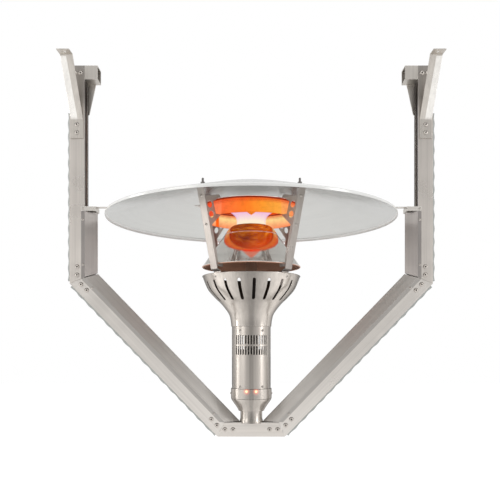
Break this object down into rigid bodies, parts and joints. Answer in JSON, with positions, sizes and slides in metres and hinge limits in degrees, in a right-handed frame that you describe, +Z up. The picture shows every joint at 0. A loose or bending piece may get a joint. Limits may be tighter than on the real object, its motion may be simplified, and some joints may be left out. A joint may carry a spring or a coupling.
{
  "type": "hanging patio heater",
  "caption": "Hanging gas patio heater: slotted bowl, polished cone and glowing ring under a wide reflector, held in a stainless strut frame that hangs from the ceiling.",
  "frame": {"origin": "on the head's axis at the underside of the frame's bottom tray", "axes": "+Z up along the head's axis, X across the frame, -Y the front with the service cover and the indicator lenses"},
  "size_m": [1.0764, 0.838, 1.0835],
  "materials": {
    "stainless": "brushed",
    "light_stainless": "brushed",
    "dark_steel": "dark, heat stained",
    "grey_strip": "satin grey",
    "polished": "mirror polished",
    "aluminium": "satin",
    "screw_steel": "bright",
    "brass": "bright",
    "copper": "drawn copper",
    "black_plastic": "matt",
    "board_green": "matt",
    "ceramic": "glazed ceramic",
    "hot_mesh": "glowing hot",
    "lens": "lit lens"
  },
  "bodies": {
    "heater": {"arm_strut_left": "stainless", "diagonal_strut_left": "stainless", "arm_raceway_left": "stainless", "diagonal_raceway_left": "stainless", "top_stub_left": "stainless", "arm_strip_left": "grey_strip", "diagonal_strip_left": "grey_strip", "elbow_joint_plate_left": "dark_steel", "ceiling_strap_left": "light_stainless", "reflector_bracket_left": "light_stainless", "reflector_tie_left": "light_stainless", "indicator_lens_left": "lens", "arm_strut_right": "stainless", "diagonal_strut_right": "stainless", "arm_raceway_right": "stainless", "diagonal_raceway_right": "stainless", "top_stub_right": "stainless", "arm_strip_right": "grey_strip", "diagonal_strip_right": "grey_strip", "elbow_joint_plate_right": "dark_steel", "ceiling_strap_right": "light_stainless", "reflector_bracket_right": "light_stainless", "reflector_tie_right": "light_stainless", "indicator_lens_right": "lens", "bottom_tray": "stainless", "tray_mounting_plate": "stainless", "neck_tube": "stainless", "base_cup": "stainless", "indicator_collar": "stainless", "rear_housing": "stainless", "slotted_bowl": "stainless", "mixer_tube": "stainless", "mixer_support_spider": "stainless", "front_service_cover": "light_stainless", "gas_supply_pipe": "copper", "wiring_conduit": "black_plastic", "polished_cone": "polished", "leg_front_left": "stainless", "reflector_stud_front_left": "screw_steel", "leg_front_right": "stainless", "reflector_stud_front_right": "screw_steel", "leg_rear_left": "stainless", "reflector_stud_rear_left": "screw_steel", "leg_rear_right": "stainless", "reflector_stud_rear_right": "screw_steel", "clamp_screw": "screw_steel", "upper_emitter_ring": "hot_mesh", "emitter_top_plate": "dark_steel", "reflector": "aluminium", "burner_head": "hot_mesh", "igniter_electrode": "ceramic", "flame_sensor": "ceramic", "chassis_plate": "dark_steel", "gas_valve": "aluminium", "gas_injector": "brass", "control_board": "board_green"},
    "shutter": {"air_shutter": "brass"},
    "plunger": {"valve_plunger": "screw_steel"},
    "clamp_nut": {"wing_nut": "screw_steel"}
  },
  "joints": [
    {"name": "air_shutter_turn", "type": "hinge", "parent": "heater", "child": "shutter", "pos_m": [0, 0, 0.279], "axis": [0, 0, 1], "range_deg": [0, 40]},
    {"name": "valve_plunger_lift", "type": "slide", "parent": "heater", "child": "plunger", "axis": [0, 0, 1], "range_m": [0, 0.003], "stiffness_N_per_m": 200},
    {"name": "wing_nut_spin", "type": "hinge", "parent": "heater", "child": "clamp_nut", "pos_m": [-0.13573, -0.11777, 0.648], "axis": [-0.7071, 0.7071, 0], "continuous": true}
  ]
}
